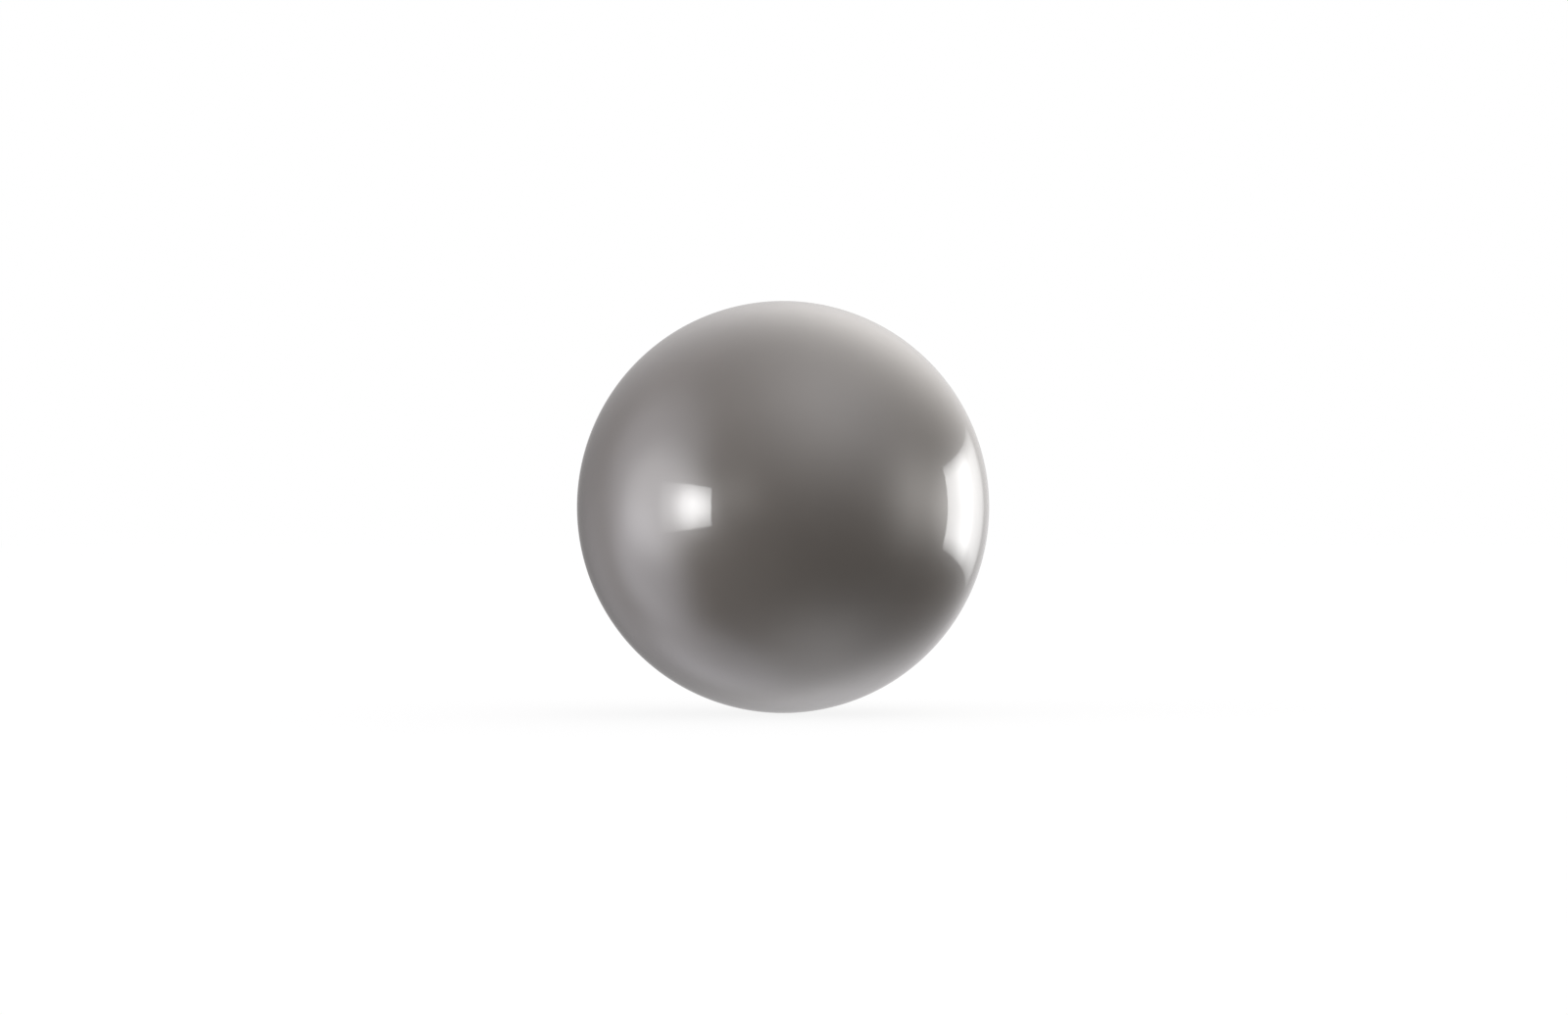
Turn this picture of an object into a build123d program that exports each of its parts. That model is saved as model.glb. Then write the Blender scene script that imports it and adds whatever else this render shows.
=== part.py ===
from build123d import *
import os
from math import sqrt

# An inflated exercise ball, in millimetres: its hollow skin, a valve seat moulded into it, and a stopper.
#
# The origin is the ball's centre and +Z is up. Every profile is drawn in the XY plane and turned about +Y,
# the axis of the valve, which is at the back. The skin's mould parts halfway between the valve and the
# front pole, and leaves a fine raised line there.

# Skin
BALL_RADIUS = 325.0
SKIN_WALL = 1.0
PARTING_LINE_WIDTH = 1.2
PARTING_LINE_HEIGHT = 0.2

# The thicker pad that the skin has round the valve, and the raised ring that marks it on the outside
PAD_FLAT_RADIUS = 22.0
PAD_EDGE_RADIUS = 42.0
PAD_DEPTH = 5.0
RING_RADIUS = 24.0
RING_WIDTH = 2.4
RING_HEIGHT = 0.4

# Valve seat: a flanged tube with a dished face
FACE_RADIUS = 13.0
FACE_BEVEL = 0.3
FLANGE_RADIUS = 19.0
FLANGE_TOP_DEPTH = 1.6
FLANGE_BOTTOM_DEPTH = 3.2
DISH_RADIUS = 11.2
SEAT_RADIUS = 8.6
SEAT_DEPTH = 2.6
NECK_RADIUS = 6.5
NECK_LENGTH = 24.0
NECK_LIP_RADIUS = 7.2
NECK_LIP_LENGTH = 2.4
BORE_MOUTH_RADIUS = 3.8
BORE_END_RADIUS = 3.4
BORE_BEVEL = 0.6

# Stopper: a crowned head on a barbed shank
HEAD_RADIUS = 6.8
HEAD_ROUND = 0.5
HEAD_RIM_HEIGHT = 1.5
HEAD_CROWN_HEIGHT = 2.15
CROWN_CURVE_RADIUS = 40.0
GATE_DIMPLE_RADIUS = 1.5
GATE_DIMPLE_DEPTH = 0.4
NOTCH_WIDTH = 3.2
NOTCH_DEPTH = 1.2
RUNNING_CLEARANCE = 0.05
BARB_COUNT = 6
BARB_PITCH = 3.2
BARB_HEIGHT = 0.4
BARB_RISE = 0.4
BARB_FALL = 1.6
FIRST_BARB_DEPTH = 2.4
SHANK_LENGTH = 22.4
TIP_LENGTH = 3.6
TIP_RADIUS = 2.0
CORE_RADIUS = 1.2
CORE_TOP_DEPTH = 6.0

INNER_RADIUS = BALL_RADIUS - SKIN_WALL

def on_sphere(distance, radius=BALL_RADIUS):
    """The profile point at a distance from the valve's axis, on the valve's half of a sphere."""
    return (distance, sqrt(radius**2 - distance**2))

FACE_HEIGHT = on_sphere(FACE_RADIUS)[1]
SEAT_HEIGHT = FACE_HEIGHT - SEAT_DEPTH

def at_depth(distance, depth):
    """The profile point at a distance from the valve's axis and a depth below the rim of its face."""
    return (distance, FACE_HEIGHT - depth)

def turned(edges):
    """The solid that a closed profile makes when it is turned about the valve's axis."""
    return revolve(make_face(edges), Axis.Y)

def outer_profile(lip):
    """The outside of the skin, from its front pole to the lip round the valve's face."""
    half_line = PARTING_LINE_WIDTH / 2
    line_back = (sqrt(BALL_RADIUS**2 - half_line**2), half_line)
    line_front = (line_back[0], -half_line)
    line_crest = (BALL_RADIUS + PARTING_LINE_HEIGHT, 0)
    ring_outer = on_sphere(RING_RADIUS + RING_WIDTH / 2)
    ring_inner = on_sphere(RING_RADIUS - RING_WIDTH / 2)
    ring_crest = on_sphere(RING_RADIUS, BALL_RADIUS + RING_HEIGHT)
    return [
        RadiusArc((0, -BALL_RADIUS), line_front, -BALL_RADIUS),
        ThreePointArc(line_front, line_crest, line_back),
        RadiusArc(line_back, ring_outer, -BALL_RADIUS),
        ThreePointArc(ring_outer, ring_crest, ring_inner),
        RadiusArc(ring_inner, lip, -BALL_RADIUS),
    ]

def inner_profile(pad_flat):
    """The inside of the skin, from the flat of its pad to the front pole, and through its wall there."""
    pad_edge = on_sphere(PAD_EDGE_RADIUS, INNER_RADIUS)
    return [
        Spline(pad_flat, pad_edge, tangents=[(1, 0), (pad_edge[1], -pad_edge[0])]),
        RadiusArc(pad_edge, (INNER_RADIUS, 0), INNER_RADIUS),
        RadiusArc((INNER_RADIUS, 0), (0, -INNER_RADIUS), INNER_RADIUS),
        Line((0, -INNER_RADIUS), (0, -BALL_RADIUS)),
    ]

def skin():
    """The hollow skin: one casting, whose pad has a pocket that is filled by the valve seat's flange."""
    lip = on_sphere(FACE_RADIUS + FACE_BEVEL)
    pad_flat = at_depth(PAD_FLAT_RADIUS, PAD_DEPTH)
    pocket = Polyline(
        lip,
        at_depth(FACE_RADIUS, FACE_BEVEL),
        at_depth(FACE_RADIUS, FLANGE_TOP_DEPTH),
        at_depth(FLANGE_RADIUS, FLANGE_TOP_DEPTH),
        at_depth(FLANGE_RADIUS, FLANGE_BOTTOM_DEPTH),
        at_depth(NECK_RADIUS, FLANGE_BOTTOM_DEPTH),
        at_depth(NECK_RADIUS, PAD_DEPTH),
        pad_flat,
    )
    return turned([*outer_profile(lip), pocket, *inner_profile(pad_flat)])

def bore_radius(depth):
    """The radius of the seat's tapered bore at a depth below the floor of its dish."""
    return BORE_MOUTH_RADIUS + (BORE_END_RADIUS - BORE_MOUTH_RADIUS) * depth / NECK_LENGTH

def valve_seat():
    """The flanged tube that the stopper plugs. Its flange fills the pocket and its neck hangs inside."""
    neck_end = SEAT_DEPTH + NECK_LENGTH
    dish_rim = at_depth(DISH_RADIUS, 0)
    dish_floor = at_depth(SEAT_RADIUS, SEAT_DEPTH)
    tube = Polyline(
        dish_floor,
        at_depth(BORE_MOUTH_RADIUS + BORE_BEVEL, SEAT_DEPTH),
        at_depth(bore_radius(BORE_BEVEL), SEAT_DEPTH + BORE_BEVEL),
        at_depth(BORE_END_RADIUS, neck_end),
        at_depth(NECK_LIP_RADIUS - BORE_BEVEL, neck_end),
        at_depth(NECK_LIP_RADIUS, neck_end - BORE_BEVEL),
        at_depth(NECK_LIP_RADIUS, neck_end - NECK_LIP_LENGTH),
        at_depth(NECK_RADIUS, neck_end - NECK_LIP_LENGTH - BORE_BEVEL),
        at_depth(NECK_RADIUS, FLANGE_BOTTOM_DEPTH),
        at_depth(FLANGE_RADIUS, FLANGE_BOTTOM_DEPTH),
        at_depth(FLANGE_RADIUS, FLANGE_TOP_DEPTH),
        at_depth(FACE_RADIUS, FLANGE_TOP_DEPTH),
        at_depth(FACE_RADIUS, FACE_BEVEL),
        at_depth(FACE_RADIUS - FACE_BEVEL, 0),
        dish_rim,
    )
    return turned([Spline(dish_rim, dish_floor, tangents=[(-1, 0), (-1, 0)]), tube])

def shank_radius(depth):
    """The radius of the stopper's shank between its barbs, which follows the bore's taper."""
    return bore_radius(depth) - RUNNING_CLEARANCE - BARB_HEIGHT

def barbs():
    """The profile points of the barbs: each rises steeply and falls slowly towards the tip."""
    points = []
    for number in range(BARB_COUNT):
        start = FIRST_BARB_DEPTH + number * BARB_PITCH
        crest = start + BARB_RISE
        for depth, height in ((start, 0), (crest, BARB_HEIGHT), (crest + BARB_FALL, 0)):
            points.append(at_depth(shank_radius(depth) + height, SEAT_DEPTH + depth))
    return points

def stopper():
    """The stopper: a crowned head with two notches to lift it by, and a barbed shank with a hollow core."""
    shank_end = SEAT_DEPTH + SHANK_LENGTH
    tip = shank_end + TIP_LENGTH
    core_top = SEAT_DEPTH + CORE_TOP_DEPTH
    crown_height = SEAT_HEIGHT + HEAD_CROWN_HEIGHT
    crown_edge = (GATE_DIMPLE_RADIUS, crown_height)
    dimple_floor = crown_height - GATE_DIMPLE_DEPTH
    rim_top = (HEAD_RADIUS - HEAD_ROUND, SEAT_HEIGHT + HEAD_RIM_HEIGHT)
    rim_middle = (HEAD_RADIUS, SEAT_HEIGHT + HEAD_RIM_HEIGHT / 2)
    rim_bottom = (HEAD_RADIUS - HEAD_ROUND, SEAT_HEIGHT)
    shank = Polyline(
        rim_bottom,
        (shank_radius(0), SEAT_HEIGHT),
        *barbs(),
        at_depth(shank_radius(SHANK_LENGTH), shank_end),
        at_depth(TIP_RADIUS, tip),
        at_depth(CORE_RADIUS, tip),
        at_depth(CORE_RADIUS, core_top + CORE_RADIUS),
        at_depth(0, core_top),
        (0, dimple_floor),
        (GATE_DIMPLE_RADIUS - GATE_DIMPLE_DEPTH, dimple_floor),
        crown_edge,
    )
    crown = RadiusArc(crown_edge, rim_top, CROWN_CURVE_RADIUS)
    rim = ThreePointArc(rim_top, rim_middle, rim_bottom)
    body = turned([shank, crown, rim])
    for side in (-1, 1):
        notch = Box(2 * NOTCH_DEPTH, 2 * HEAD_CROWN_HEIGHT, NOTCH_WIDTH)
        body -= Pos(side * HEAD_RADIUS, crown_height, 0) * notch
    return body

def main():
    os.makedirs("parts", exist_ok=True)
    export_step(skin(), "parts/ball_skin.step")
    export_step(valve_seat(), "parts/valve_seat.step")
    export_step(stopper(), "parts/valve_stopper.step")

main()
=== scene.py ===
from math import asin, cos, pi, radians, sin, sqrt

import bmesh
import bpy
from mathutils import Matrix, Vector


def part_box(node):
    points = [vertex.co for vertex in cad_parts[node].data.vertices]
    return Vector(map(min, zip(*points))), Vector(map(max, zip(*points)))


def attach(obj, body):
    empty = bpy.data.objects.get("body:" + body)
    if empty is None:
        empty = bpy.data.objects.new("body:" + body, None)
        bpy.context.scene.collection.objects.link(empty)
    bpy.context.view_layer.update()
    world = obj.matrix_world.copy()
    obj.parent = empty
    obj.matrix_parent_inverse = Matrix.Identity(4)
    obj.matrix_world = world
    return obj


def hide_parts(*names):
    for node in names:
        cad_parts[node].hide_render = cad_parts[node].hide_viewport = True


# An inflated exercise ball in glossy dark vinyl, in a white studio. Everything is in metres, with the
# ball's centre at the origin, +Z up, the valve's axis along +Y and the camera on the -Y side.

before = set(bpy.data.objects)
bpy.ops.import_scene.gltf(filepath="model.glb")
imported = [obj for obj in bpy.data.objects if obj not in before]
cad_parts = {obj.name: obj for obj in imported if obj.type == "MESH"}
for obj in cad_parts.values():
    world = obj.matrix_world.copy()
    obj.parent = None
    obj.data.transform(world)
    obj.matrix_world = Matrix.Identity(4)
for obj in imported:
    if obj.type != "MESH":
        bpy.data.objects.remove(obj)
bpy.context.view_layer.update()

# ---------------------------------------------------------------- sizes, from the frame
skin_low, skin_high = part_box("ball_skin")
seat_low, seat_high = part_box("valve_seat")
BALL_RADIUS = -skin_low.y
LINE_HEIGHT = skin_high.x - BALL_RADIUS
FACE_HEIGHT = seat_high.y
FACE_RADIUS = sqrt(BALL_RADIUS**2 - FACE_HEIGHT**2)
FLANGE_RADIUS = seat_high.x
FLOOR_HEIGHT = skin_low.z

# The rest of the skin's shape, which the frame's boxes don't give
SKIN_WALL = 0.001
LINE_WIDTH = 0.0012
RING_RADIUS = 0.024
RING_WIDTH = 0.0024
RING_HEIGHT = 0.0004
FACE_BEVEL = 0.0003
FLANGE_TOP_DEPTH = 0.0016
FLANGE_BOTTOM_DEPTH = 0.0032
NECK_RADIUS = 0.0065
PAD_DEPTH = 0.005
PAD_FLAT_RADIUS = 0.022
PAD_EDGE_RADIUS = 0.042

# How finely the skin is divided, and the turn in degrees that makes an edge between faces a sharp one
SEGMENTS = 384
OUTER_STEPS = 48
BEAD_STEPS = 12
INNER_STEPS = 24
SHARP_ANGLE = 35

# ---------------------------------------------------------------- the studio
# The camera: its lens and sensor, the share of the picture's width that the ball fills, and its shift
LENS = 0.1
SENSOR = 0.036
BALL_SHARE = 0.263
FRAME_SHIFT = (0.0006, -0.0003)

# The distance from the ball to the light cards, whose right one has its far edge further away
CARD_DISTANCE = 8.0
PANEL_FAR_DISTANCE = 11.6
FLOOR_SIZE = 60.0

# Soft lights round the ball: the direction to each as azimuth and elevation, its width in degrees, how
# firm its edge is, its strength and its tint. Azimuth 0 is towards the camera and 90 is to the right. A
# firmness of 1 fades evenly from the middle, and 2 is flatter and then falls faster.
WARM = (1.02, 0.99, 0.96)
PLAIN = (1.0, 0.985, 1.0)
COOL = (0.97, 0.965, 1.04)
SOFT_LIGHTS = {
    "overhead": (38, 56, 29, 1, 1.8, PLAIN),
    "behind_above": (152, 44, 25, 1, 1.65, WARM),
    "behind_level": (165, -5, 17, 1, 0.45, PLAIN),
    "behind_below": (165, -50, 19, 1, 1.2, PLAIN),
    "left_above": (-132, 47, 27, 1, 0.43, COOL),
    "scrim_middle": (-72, 2, 18, 2, 2.25, PLAIN),
    "scrim_upper": (-80, 17, 23, 2, 1.25, COOL),
    "scrim_lower": (-89, -24, 17, 2, 1.3, COOL),
    "scrim_far": (-116, -26, 25, 2, 0.43, COOL),
    "scrim_foot": (-124, -60, 17, 2, 0.75, COOL),
    "softbox_halo": (-25, 6, 9, 1, 0.65, WARM),
    "panel_halo_wide": (78, 4, 13, 1, 1.76, WARM),
    "panel_halo": (100, 0, 8, 1, 1.57, WARM),
    "right_below": (70, -74, 19, 1, 1.0, PLAIN),
}

# The floor's own reflectance, and the even glow that makes it pale where nothing shades it
FLOOR_TONE = 0.1
FLOOR_GLOW = 0.88


def heading(azimuth, elevation):
    """The unit vector towards an azimuth and elevation in degrees."""
    a = radians(azimuth)
    e = radians(elevation)
    return Vector((sin(a) * cos(e), -cos(a) * cos(e), sin(e)))


def reflected(azimuth, elevation, distance):
    """The point at a distance along the ray that the ball reflects that way, as the camera sees it."""
    ray = heading(azimuth, elevation)
    normal = (ray + heading(0, 0)).normalized()
    return normal * BALL_RADIUS + ray * distance


def link_object(name, mesh):
    """A new object in the scene that shows a mesh."""
    thing = bpy.data.objects.new(name, mesh)
    bpy.context.scene.collection.objects.link(thing)
    return thing


def add(tree, kind, **settings):
    """A new node with its properties set."""
    node = tree.nodes.new(kind)
    for key, value in settings.items():
        setattr(node, key, value)
    return node


def maths(tree, operation, *values):
    """The output of a maths node. A value is a number or another node's output."""
    node = add(tree, "ShaderNodeMath", operation=operation)
    for socket, value in zip(node.inputs, values):
        if isinstance(value, bpy.types.NodeSocket):
            tree.links.new(value, socket)
        else:
            socket.default_value = value
    return node.outputs[0]


# ---------------------------------------------------------------- camera and stage
def make_camera():
    """The camera, level with the ball's centre, at the distance that makes the ball fill its share."""
    slope = BALL_SHARE / 2 * SENSOR / LENS
    distance = BALL_RADIUS * sqrt(1 + 1 / slope**2)
    data = bpy.data.cameras.new("camera")
    data.lens = LENS * 1000
    data.sensor_width = SENSOR * 1000
    data.shift_x, data.shift_y = FRAME_SHIFT
    camera = link_object("camera", data)
    camera.location = heading(0, 0) * distance
    camera.rotation_euler = (pi / 2, 0, 0)
    bpy.context.scene.camera = camera


def soft_lights(tree):
    """The sum of the soft lights in the direction that is being looked up."""
    direction = add(tree, "ShaderNodeTexCoord").outputs["Generated"]
    total = None
    for azimuth, elevation, width, firmness, strength, tint in SOFT_LIGHTS.values():
        sharpness = 1 / radians(width) ** 2
        dot = add(tree, "ShaderNodeVectorMath", operation="DOT_PRODUCT")
        tree.links.new(direction, dot.inputs[0])
        dot.inputs[1].default_value = heading(azimuth, elevation)
        away = maths(tree, "MULTIPLY_ADD", dot.outputs["Value"], -sharpness, sharpness)
        fall = maths(tree, "POWER", away, firmness)
        glow = maths(tree, "EXPONENT", maths(tree, "MULTIPLY", fall, -1))
        tinted = add(tree, "ShaderNodeVectorMath", operation="MULTIPLY_ADD")
        tree.links.new(glow, tinted.inputs[0])
        tinted.inputs[1].default_value = Vector(tint) * strength
        if total is None:
            tinted.inputs[2].default_value = (0, 0, 0)
        else:
            tree.links.new(total, tinted.inputs[2])
        total = tinted.outputs[0]
    return total


def make_world():
    """Soft light from all round, and plain white behind the ball."""
    world = bpy.data.worlds.new("studio")
    bpy.context.scene.world = world
    world.use_nodes = True
    tree = world.node_tree
    tree.nodes.clear()
    lit = add(tree, "ShaderNodeBackground")
    tree.links.new(soft_lights(tree), lit.inputs["Color"])
    seen = add(tree, "ShaderNodeBackground")
    seen.inputs["Color"].default_value = (1, 1, 1, 1)
    path = add(tree, "ShaderNodeLightPath")
    mix = add(tree, "ShaderNodeMixShader")
    tree.links.new(path.outputs["Is Camera Ray"], mix.inputs[0])
    tree.links.new(lit.outputs[0], mix.inputs[1])
    tree.links.new(seen.outputs[0], mix.inputs[2])
    output = add(tree, "ShaderNodeOutputWorld")
    tree.links.new(mix.outputs[0], output.inputs["Surface"])


def ramp(tree, value, stops):
    """A number that follows stops, pairs of a value and a share from 0 to 1, with straight runs between."""
    node = add(tree, "ShaderNodeValToRGB")
    elements = node.color_ramp.elements
    while len(elements) < len(stops):
        elements.new(1)
    for element, (place, share) in zip(elements, stops):
        element.position = place
        element.color = (share, share, share, 1)
    tree.links.new(value, node.inputs[0])
    return node.outputs["Color"]


def make_card(name, near, far, across, up, strength):
    """A light card, whose glow is added to the soft lights behind it.

    near and far are an edge's azimuth, lowest and highest elevation, and distance. across gives the share
    of the strength at each azimuth, and up gives it from the lower edge to the upper, 0 to 1.
    """
    corners = []
    for azimuth, lowest, highest, distance in (near, far):
        corners.append(reflected(azimuth, lowest, distance))
        corners.append(reflected(azimuth, highest, distance))
    mesh = bpy.data.meshes.new(name)
    mesh.from_pydata(corners, [], [(0, 1, 3, 2)])
    layer = mesh.uv_layers.new(name="across")
    for loop, place in zip(layer.data, ((0, 0), (0, 1), (1, 1), (1, 0))):
        loop.uv = place
    near_edge = heading(near[0], 0) * near[3]
    far_edge = heading(far[0], 0) * far[3]
    places = []
    for azimuth, share in across:
        ray = heading(azimuth, 0)
        near_side = near_edge.cross(ray).z
        far_side = far_edge.cross(ray).z
        places.append((near_side / (near_side - far_side), share))
    card = link_object(name, mesh)
    card.visible_camera = False
    material = bpy.data.materials.new(name)
    material.use_nodes = True
    tree = material.node_tree
    tree.nodes.clear()
    place = add(tree, "ShaderNodeSeparateXYZ")
    tree.links.new(add(tree, "ShaderNodeTexCoord").outputs["UV"], place.inputs[0])
    colour = add(tree, "ShaderNodeVectorMath", operation="MULTIPLY")
    tree.links.new(ramp(tree, place.outputs["X"], places), colour.inputs[0])
    tree.links.new(ramp(tree, place.outputs["Y"], up), colour.inputs[1])
    glow = add(tree, "ShaderNodeEmission", name="glow")
    glow.inputs["Strength"].default_value = strength
    tree.links.new(colour.outputs[0], glow.inputs["Color"])
    both = add(tree, "ShaderNodeAddShader")
    tree.links.new(glow.outputs[0], both.inputs[0])
    tree.links.new(add(tree, "ShaderNodeBsdfTransparent").outputs[0], both.inputs[1])
    output = add(tree, "ShaderNodeOutputMaterial")
    tree.links.new(both.outputs[0], output.inputs["Surface"])
    mesh.materials.append(material)
    return card


def make_floor():
    """A plain pale floor under the ball. Only the camera sees it: the soft lights stand for its glow."""
    half = FLOOR_SIZE / 2
    corners = [(x * half, y * half, FLOOR_HEIGHT) for x, y in ((-1, -1), (1, -1), (1, 1), (-1, 1))]
    mesh = bpy.data.meshes.new("floor")
    mesh.from_pydata(corners, [], [(0, 1, 2, 3)])
    floor = link_object("floor", mesh)
    floor.visible_diffuse = False
    floor.visible_glossy = False
    floor.visible_shadow = False
    material = bpy.data.materials.new("pale_floor")
    material.use_nodes = True
    shader = material.node_tree.nodes["Principled BSDF"]
    shader.inputs["Base Color"].default_value = (FLOOR_TONE, FLOOR_TONE, FLOOR_TONE, 1)
    shader.inputs["Roughness"].default_value = 1
    shader.inputs["Specular IOR Level"].default_value = 0
    shader.inputs["Emission Color"].default_value = (1, 1, 1, 1)
    shader.inputs["Emission Strength"].default_value = FLOOR_GLOW
    mesh.materials.append(material)


def make_studio():
    """The camera, the lights and the floor."""
    bpy.context.scene.view_settings.view_transform = "Standard"
    make_camera()
    make_world()
    make_card(
        "left_softbox",
        near=(-40, -9.8, 9.8, CARD_DISTANCE),
        far=(-74, -11.6, 11.6, CARD_DISTANCE),
        across=((-40, 0.68), (-44, 0.86), (-51, 1), (-56, 0.77), (-60, 0.42), (-65, 0.18), (-74, 0)),
        up=((0, 0.38), (0.2, 0.74), (0.4, 1), (0.6, 1), (0.8, 0.74), (1, 0.38)),
        strength=12.8,
    )
    make_card(
        "right_panel",
        near=(104, -14.3, 13.7, CARD_DISTANCE),
        far=(152, -12.3, 12.3, PANEL_FAR_DISTANCE),
        across=(
            (104, 0.85), (112, 0.9), (120, 1), (126, 0.92),
            (133, 0.5), (142, 0.28), (147, 0.18), (152, 0),
        ),
        up=((0, 0.25), (0.07, 0.65), (0.16, 1), (0.5, 0.95), (0.84, 1), (0.93, 0.65), (1, 0.25)),
        strength=6,
    )
    make_floor()


# ---------------------------------------------------------------- the skin's shape
def spaced(start, end, steps):
    """Evenly spaced values from start, up to but not including end."""
    return [start + (end - start) * step / steps for step in range(steps)]


def on_sphere(distance, radius=BALL_RADIUS):
    """The profile point at a distance from the valve's axis, on the valve's half of a sphere."""
    return (distance, sqrt(radius**2 - distance**2))


def at_depth(distance, depth):
    """The profile point at a distance from the valve's axis and a depth below its face."""
    return (distance, FACE_HEIGHT - depth)


def bead(along, width, height):
    """The height of a soft raised line at a distance from its middle."""
    if abs(along) > width / 2:
        return 0
    return height * (1 + cos(2 * pi * along / width)) / 2


def outer_profile():
    """The outside, from the front pole to the valve's lip, with its parting line and its raised ring."""
    line_half = LINE_WIDTH / 2 / BALL_RADIUS
    ring_middle = asin(RING_RADIUS / BALL_RADIUS)
    ring_half = RING_WIDTH / 2 / BALL_RADIUS
    lip = asin((FACE_RADIUS + FACE_BEVEL) / BALL_RADIUS)
    # Angles are from the valve's axis, so the front pole is at a half turn
    angles = spaced(pi, pi / 2 + line_half, OUTER_STEPS)
    angles += spaced(pi / 2 + line_half, pi / 2 - line_half, BEAD_STEPS)
    angles += spaced(pi / 2 - line_half, ring_middle + ring_half, OUTER_STEPS)
    angles += spaced(ring_middle + ring_half, ring_middle - ring_half, BEAD_STEPS)
    angles += spaced(ring_middle - ring_half, lip, BEAD_STEPS)
    points = [(0, -BALL_RADIUS)]
    for angle in angles[1:] + [lip]:
        radius = BALL_RADIUS
        radius += bead((angle - pi / 2) * BALL_RADIUS, LINE_WIDTH, LINE_HEIGHT)
        radius += bead((angle - ring_middle) * BALL_RADIUS, RING_WIDTH, RING_HEIGHT)
        points.append((radius * sin(angle), radius * cos(angle)))
    return points


def pocket_profile():
    """The bevel at the lip, and the pocket that the valve seat's flange fills."""
    return [
        at_depth(FACE_RADIUS, FACE_BEVEL),
        at_depth(FACE_RADIUS, FLANGE_TOP_DEPTH),
        at_depth(FLANGE_RADIUS, FLANGE_TOP_DEPTH),
        at_depth(FLANGE_RADIUS, FLANGE_BOTTOM_DEPTH),
        at_depth(NECK_RADIUS, FLANGE_BOTTOM_DEPTH),
        at_depth(NECK_RADIUS, PAD_DEPTH),
    ]


def inner_profile():
    """The inside, from the flat of the pad round the valve to the front pole."""
    inner_radius = BALL_RADIUS - SKIN_WALL
    flat = Vector(at_depth(PAD_FLAT_RADIUS, PAD_DEPTH))
    edge = Vector(on_sphere(PAD_EDGE_RADIUS, inner_radius))
    points = []
    for t in spaced(0, 1, BEAD_STEPS):
        ease = t * t * (3 - 2 * t)
        distance = flat.x + (edge.x - flat.x) * t
        sphere = on_sphere(distance, inner_radius)[1]
        points.append((distance, flat.y + (sphere - flat.y) * ease))
    start = asin(PAD_EDGE_RADIUS / inner_radius)
    for angle in spaced(start, pi, 2 * INNER_STEPS):
        points.append((inner_radius * sin(angle), inner_radius * cos(angle)))
    points.append((0, -inner_radius))
    return points


def turned_mesh(name, profile):
    """A mesh made by turning a profile about the valve's axis. A point on the axis is a pole."""
    shape = bmesh.new()
    turns = [2 * pi * step / SEGMENTS for step in range(SEGMENTS)]
    rings = []
    for distance, height in profile:
        if distance == 0:
            rings.append([shape.verts.new((0, height, 0))] * SEGMENTS)
        else:
            rings.append([shape.verts.new((distance * cos(a), height, distance * sin(a))) for a in turns])
    for ring, following in zip(rings, rings[1:]):
        for here in range(SEGMENTS):
            beside = (here + 1) % SEGMENTS
            corners = (ring[here], following[here], following[beside], ring[beside])
            face = shape.faces.new(list(dict.fromkeys(corners)))
            face.smooth = True
    mesh = bpy.data.meshes.new(name)
    shape.to_mesh(mesh)
    shape.free()
    mesh.set_sharp_from_angle(angle=radians(SHARP_ANGLE))
    return mesh


# ---------------------------------------------------------------- materials
def noise(tree, scale, detail, place=(0, 0, 0)):
    """A cloudy pattern in the piece's own coordinates, with so many features in a metre."""
    mapping = add(tree, "ShaderNodeMapping")
    mapping.inputs["Location"].default_value = place
    tree.links.new(add(tree, "ShaderNodeTexCoord").outputs["Object"], mapping.inputs["Vector"])
    pattern = add(tree, "ShaderNodeTexNoise")
    pattern.inputs["Scale"].default_value = scale
    pattern.inputs["Detail"].default_value = detail
    tree.links.new(mapping.outputs[0], pattern.inputs["Vector"])
    return pattern.outputs["Fac"]


def spread(tree, value, low, high):
    """A pattern's values, mostly 0.3 to 0.7, moved to a range."""
    node = add(tree, "ShaderNodeMapRange")
    node.inputs["From Min"].default_value = 0.3
    node.inputs["From Max"].default_value = 0.7
    node.inputs["To Min"].default_value = low
    node.inputs["To Max"].default_value = high
    tree.links.new(value, node.inputs["Value"])
    return node.outputs["Result"]


def tone(tree, dark, light, value):
    """A colour between two, by a pattern."""
    # A Mix node has sockets for each kind of data, and inputs 6 and 7 and output 2 are the colours
    mix = add(tree, "ShaderNodeMix", data_type="RGBA")
    mix.inputs[6].default_value = (*dark, 1)
    mix.inputs[7].default_value = (*light, 1)
    tree.links.new(value, mix.inputs[0])
    return mix.outputs[2]


def bumped(tree, height, distance, normal=None):
    """A normal that a pattern roughens, by so many metres."""
    bump = add(tree, "ShaderNodeBump")
    bump.inputs["Distance"].default_value = distance
    tree.links.new(height, bump.inputs["Height"])
    if normal is not None:
        tree.links.new(normal, bump.inputs["Normal"])
    return bump.outputs["Normal"]


def new_material(name):
    """A material with a Principled shader, as (material, its tree, the shader's inputs)."""
    material = bpy.data.materials.new(name)
    material.use_nodes = True
    tree = material.node_tree
    return material, tree, tree.nodes["Principled BSDF"].inputs


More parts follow.
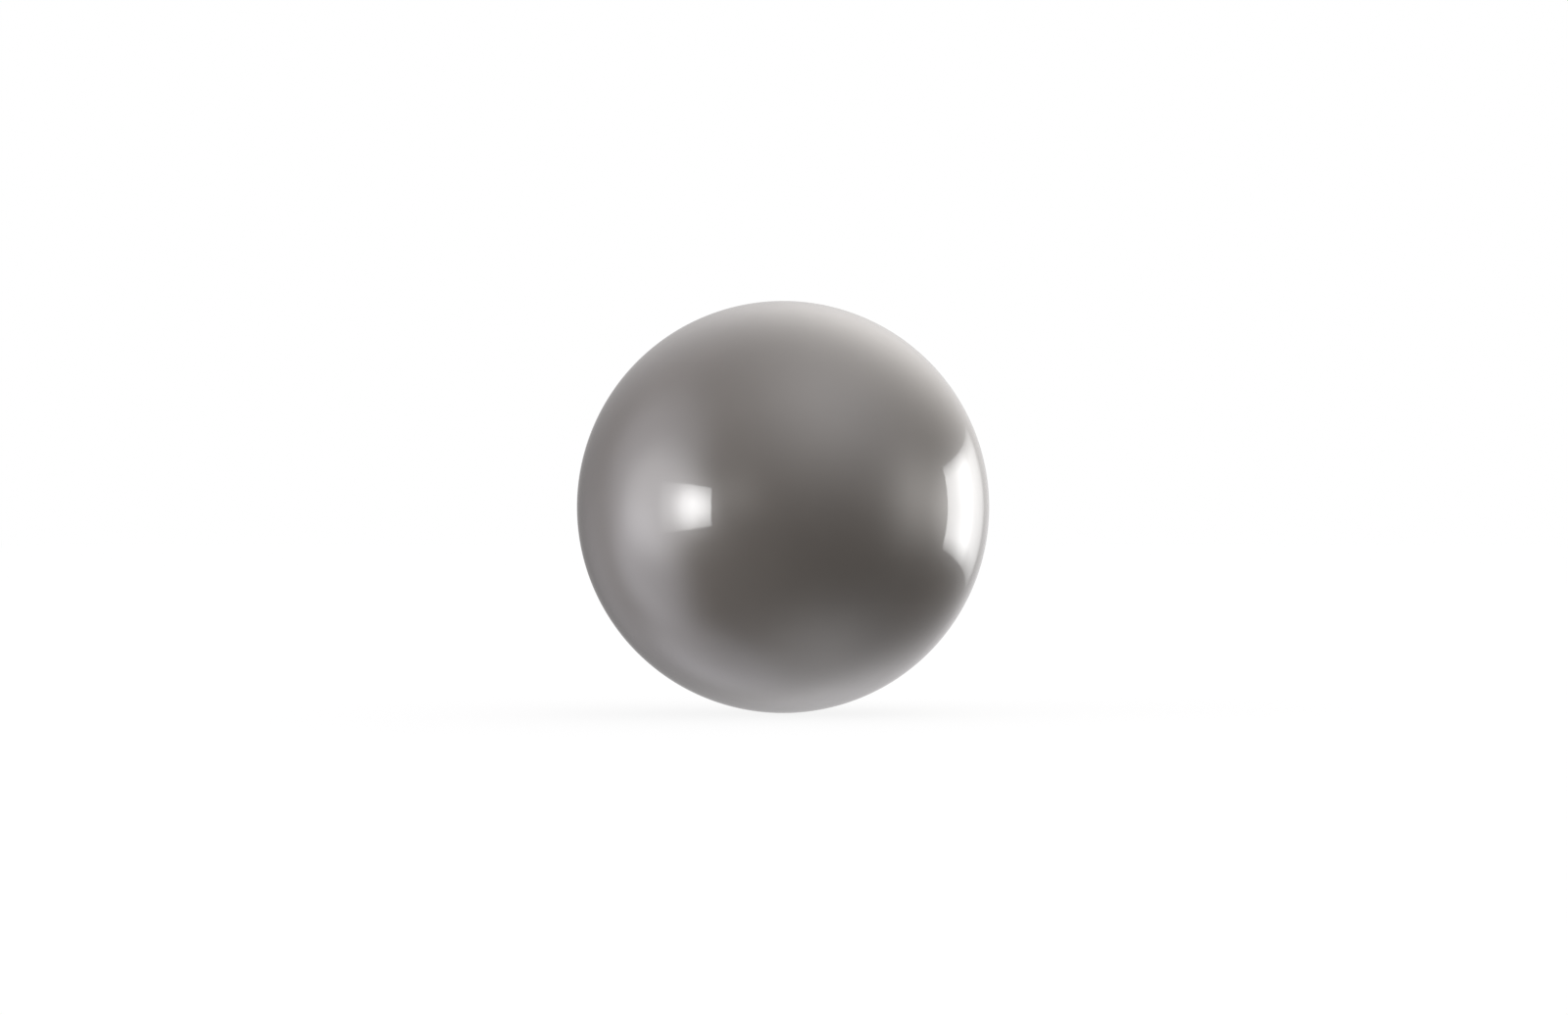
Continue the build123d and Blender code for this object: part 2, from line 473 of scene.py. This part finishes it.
def skin_vinyl():
    """Glossy dark vinyl: a warm grey body under a smooth skin, with cloudy pigment and faint flow marks.

    The roughness stays above 0.28, because a patch at 0.27 comes out of the denoiser as a dark speck.
    """
    material, tree, inputs = new_material("skin_vinyl")
    clouds = noise(tree, 9, 4)
    grain = noise(tree, 700, 2)
    mottle = maths(tree, "MULTIPLY_ADD", grain, 0.1, maths(tree, "MULTIPLY", clouds, 0.9))
    tree.links.new(
        tone(tree, (0.106, 0.096, 0.086), (0.116, 0.105, 0.094), spread(tree, mottle, 0, 1)),
        inputs["Base Color"],
    )
    tree.links.new(spread(tree, noise(tree, 30, 5, (3, 1, 2)), 0.285, 0.32), inputs["Roughness"])
    flow = bumped(tree, noise(tree, 60, 2, (5, 5, 5)), 0.00003)
    tree.links.new(bumped(tree, grain, 0.000004, flow), inputs["Normal"])
    tree.links.new(flow, inputs["Coat Normal"])
    inputs["IOR"].default_value = 1.5
    inputs["Coat Weight"].default_value = 1
    inputs["Coat Roughness"].default_value = 0.04
    inputs["Coat IOR"].default_value = 1.5
    return material


def seat_vinyl():
    """The valve seat's vinyl: darker and duller than the skin, with a fine moulded grain."""
    material, tree, inputs = new_material("seat_vinyl")
    grain = noise(tree, 1500, 3)
    tree.links.new(
        tone(tree, (0.085, 0.079, 0.074), (0.105, 0.099, 0.093), spread(tree, noise(tree, 120, 4), 0, 1)),
        inputs["Base Color"],
    )
    tree.links.new(spread(tree, grain, 0.38, 0.5), inputs["Roughness"])
    tree.links.new(bumped(tree, grain, 0.00003), inputs["Normal"])
    inputs["IOR"].default_value = 1.5
    return material


def stopper_plastic():
    """The stopper's white plastic: smooth, with faint moulding swirls."""
    material, tree, inputs = new_material("stopper_plastic")
    swirls = noise(tree, 260, 3, (1, 2, 3))
    tree.links.new(
        tone(tree, (0.60, 0.59, 0.56), (0.66, 0.65, 0.62), spread(tree, swirls, 0, 1)),
        inputs["Base Color"],
    )
    tree.links.new(spread(tree, noise(tree, 900, 3), 0.3, 0.4), inputs["Roughness"])
    tree.links.new(bumped(tree, swirls, 0.00002), inputs["Normal"])
    inputs["IOR"].default_value = 1.49
    return material


# ---------------------------------------------------------------- the pieces
def make_skin():
    """The hollow skin, which stands for the CAD skin."""
    profile = outer_profile() + pocket_profile() + inner_profile()
    skin = link_object("skin", turned_mesh("skin", profile))
    skin.data.materials.append(skin_vinyl())
    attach(skin, "ball")
    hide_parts("ball_skin")


def finish_valve():
    """The valve's CAD pieces stay, and take their own materials."""
    for name, material in (("valve_seat", seat_vinyl()), ("valve_stopper", stopper_plastic())):
        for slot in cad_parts[name].material_slots:
            slot.material = material


make_studio()
make_skin()
finish_valve()
